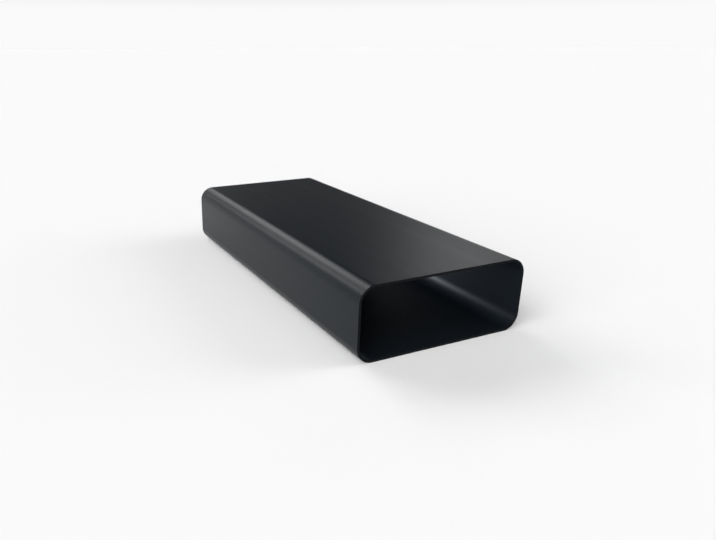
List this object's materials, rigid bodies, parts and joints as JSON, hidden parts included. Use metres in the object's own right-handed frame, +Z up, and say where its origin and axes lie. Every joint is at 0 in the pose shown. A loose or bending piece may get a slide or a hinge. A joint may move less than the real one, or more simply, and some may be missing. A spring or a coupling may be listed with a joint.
{
  "type": "flat channel duct",
  "caption": "Straight flat channel duct: an even-walled plastic tube of wide, low section with rounded corners, open at both ends, that carries air and plugs into duct connectors.",
  "frame": {"origin": "middle of the underside, on the surface that the duct lies on", "axes": "+Y along the duct's run, with the front mouth at -Y; +X across its width; +Z up through its height"},
  "size_m": [0.222, 0.5, 0.089],
  "materials": {
    "duct_plastic": "satin"
  },
  "bodies": {
    "root": {"flat_channel_duct": "duct_plastic"}
  },
  "joints": []
}
